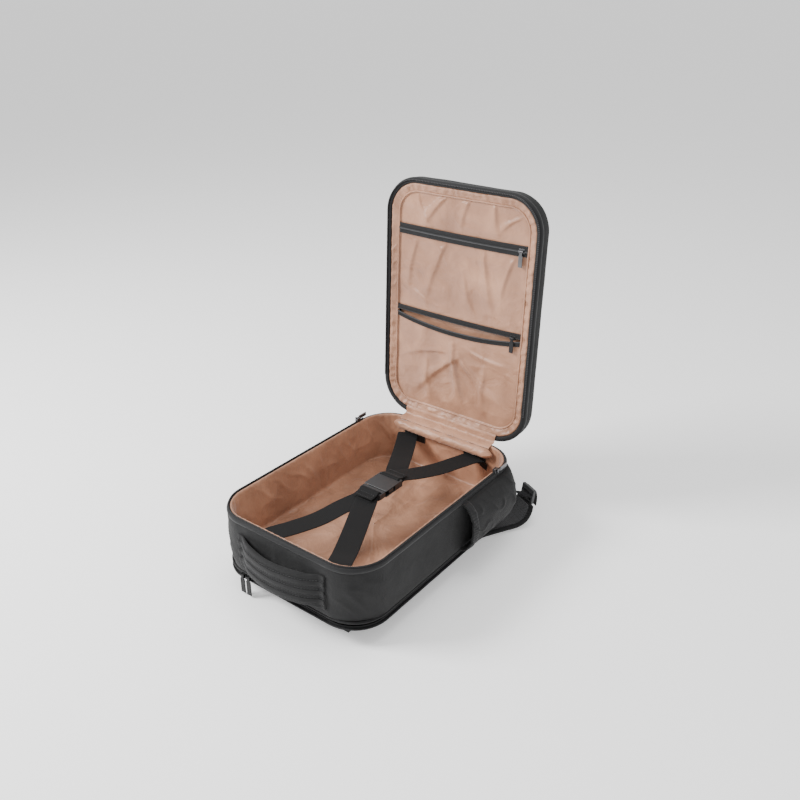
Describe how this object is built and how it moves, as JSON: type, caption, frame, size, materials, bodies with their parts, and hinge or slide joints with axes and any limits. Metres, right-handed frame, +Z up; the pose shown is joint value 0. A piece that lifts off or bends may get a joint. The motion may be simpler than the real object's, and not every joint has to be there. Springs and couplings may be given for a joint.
{
  "type": "travel backpack",
  "caption": "Clamshell travel backpack lying on its back with its lid open, with packing straps, buckle, zips, pockets and shoulder straps.",
  "frame": {"origin": "centre of the middle back cushion's underside, on the floor", "axes": "+X to the right across the width, +Y from the grab-handle end to the lid-hinge end, +Z up"},
  "size_m": [0.372, 0.5072, 0.5771],
  "materials": {
    "outer_weave": "matt woven polyester",
    "black_webbing": "ribbed webbing and zip tape",
    "satin_lining": "satin lining",
    "air_mesh": "air mesh",
    "black_plastic": "satin moulded",
    "gunmetal": "gunmetal plated",
    "foam": "padding board"
  },
  "bodies": {
    "case": {"harness_panel": "outer_weave", "harness_wall": "outer_weave", "back_cushions": "air_mesh", "strap_yoke": "outer_weave", "laptop_zip_tape": "black_webbing", "laptop_piping": "black_webbing", "case_floor": "foam", "main_wall": "outer_weave", "wall_foam": "foam", "base_lining": "satin_lining", "rim_binding": "black_webbing", "base_zip_tape": "black_webbing", "hinge_roll": "satin_lining", "hinge_flap": "satin_lining", "grab_handle": "outer_weave", "handle_ribs": "black_webbing", "handle_patches": "outer_weave", "bottle_pocket": "outer_weave", "pocket_hem": "black_webbing", "strap_anchors": "black_webbing", "near_strap_left": "black_webbing", "near_strap_right": "black_webbing", "far_strap_left": "black_webbing", "far_strap_right": "black_webbing", "buckle_female": "black_plastic", "corner_tabs": "black_webbing", "lower_webbings": "black_webbing"},
    "lid": {"lid_panel": "outer_weave", "lid_foam": "foam", "lid_gusset": "outer_weave", "lid_binding": "black_webbing", "lid_zip_tape": "black_webbing", "lid_lining": "satin_lining", "pocket_border": "satin_lining", "top_panel": "satin_lining", "upper_pocket_panel": "satin_lining", "lower_pocket_panel": "satin_lining", "upper_zip_tapes": "black_webbing", "lower_zip_tapes": "black_webbing"},
    "upper_slider": {"upper_slider": "gunmetal"},
    "upper_pull": {"upper_pull": "gunmetal"},
    "lower_slider": {"lower_slider": "gunmetal"},
    "lower_pull": {"lower_pull": "gunmetal"},
    "main_slider_right": {"main_slider_right": "gunmetal"},
    "main_pull_right": {"main_pull_right": "gunmetal"},
    "main_slider_left": {"main_slider_left": "gunmetal"},
    "main_pull_left": {"main_pull_left": "gunmetal"},
    "laptop_slider_a": {"laptop_slider_a": "gunmetal"},
    "laptop_pull_a": {"laptop_pull_a": "black_webbing"},
    "laptop_slider_b": {"laptop_slider_b": "gunmetal"},
    "laptop_pull_b": {"laptop_pull_b": "black_webbing"},
    "buckle_male": {"buckle_male": "black_plastic"},
    "prong_left": {"prong_left": "black_plastic"},
    "prong_right": {"prong_right": "black_plastic"},
    "shoulder_right": {"strap_pad_right": "outer_weave", "strap_webbing_right": "black_webbing", "ladder_lock_right": "black_plastic"},
    "shoulder_left": {"strap_pad_left": "outer_weave", "strap_webbing_left": "black_webbing", "ladder_lock_left": "black_plastic"}
  },
  "joints": [
    {"name": "lid_hinge", "type": "hinge", "parent": "case", "child": "lid", "pos_m": [0, 0.2168, 0.1442], "axis": [1, 0, 0], "range_deg": [-80, 92], "deforming": ["hinge_flap"]},
    {"name": "upper_zip_slide", "type": "slide", "parent": "lid", "child": "upper_slider", "axis": [-1, 0, 0], "range_m": [0, 0.23]},
    {"name": "upper_pull_swing", "type": "hinge", "parent": "upper_slider", "child": "upper_pull", "pos_m": [0.116, 0.23609, 0.48754], "axis": [1, 0, 0], "range_deg": [-150, 0]},
    {"name": "lower_zip_slide", "type": "slide", "parent": "lid", "child": "lower_slider", "axis": [-1, 0, 0], "range_m": [0, 0.225]},
    {"name": "lower_pull_swing", "type": "hinge", "parent": "lower_slider", "child": "lower_pull", "pos_m": [0.112, 0.23096, 0.34063], "axis": [1, 0, 0], "range_deg": [-150, 0]},
    {"name": "rim_zip_slide_right", "type": "slide", "parent": "case", "child": "main_slider_right", "axis": [0, -1, 0], "range_m": [0, 0.28]},
    {"name": "rim_pull_swing_right", "type": "hinge", "parent": "main_slider_right", "child": "main_pull_right", "pos_m": [0.1527, 0.139, 0.1442], "axis": [0, 0, 1], "range_deg": [-170, 0]},
    {"name": "rim_zip_slide_left", "type": "slide", "parent": "case", "child": "main_slider_left", "axis": [0, -1, 0], "range_m": [0, 0.28]},
    {"name": "rim_pull_swing_left", "type": "hinge", "parent": "main_slider_left", "child": "main_pull_left", "pos_m": [-0.1527, 0.139, 0.1442], "axis": [0, 0, 1], "range_deg": [0, 170]},
    {"name": "laptop_zip_turn_a", "type": "hinge", "parent": "case", "child": "laptop_slider_a", "pos_m": [-0.09, -0.155, 0.0365], "axis": [0, 0, 1], "range_deg": [-90, 0]},
    {"name": "laptop_pull_swing_a", "type": "hinge", "parent": "laptop_slider_a", "child": "laptop_pull_a", "pos_m": [-0.09, -0.2173, 0.0365], "axis": [1, 0, 0], "range_deg": [-100, 0]},
    {"name": "laptop_zip_slide_b", "type": "slide", "parent": "case", "child": "laptop_slider_b", "axis": [1, 0, 0], "range_m": [0, 0.16]},
    {"name": "laptop_pull_swing_b", "type": "hinge", "parent": "laptop_slider_b", "child": "laptop_pull_b", "pos_m": [-0.077, -0.2173, 0.0365], "axis": [1, 0, 0], "range_deg": [-100, 0]},
    {"name": "buckle_release", "type": "slide", "parent": "case", "child": "buckle_male", "axis": [0, -1, 0], "range_m": [0, 0.034], "deforming": ["near_strap_left", "near_strap_right"]},
    {"name": "prong_squeeze_right", "type": "hinge", "parent": "buckle_male", "child": "prong_right", "pos_m": [0.018, 0, 0.12], "axis": [0, 0, 1], "range_deg": [0, 6], "stiffness_Nm_per_rad": 0.3},
    {"name": "prong_squeeze_left", "type": "hinge", "parent": "buckle_male", "child": "prong_left", "pos_m": [-0.01, 0, 0.12], "axis": [0, 0, 1], "range_deg": [-6, 0], "stiffness_Nm_per_rad": 0.3},
    {"name": "shoulder_strap_right", "type": "hinge", "parent": "case", "child": "shoulder_right", "pos_m": [0.078, -0.171, 0.0122], "axis": [0.9969, -0.0785, 0], "range_deg": [-30, 0], "deforming": ["lower_webbings"]},
    {"name": "shoulder_strap_left", "type": "hinge", "parent": "case", "child": "shoulder_left", "pos_m": [-0.078, -0.171, 0.0122], "axis": [0.9969, 0.0785, 0], "range_deg": [-30, 0]}
  ],
  "couplings": [
    {"joint": "prong_squeeze_left", "follows": "prong_squeeze_right", "ratio": -1}
  ]
}
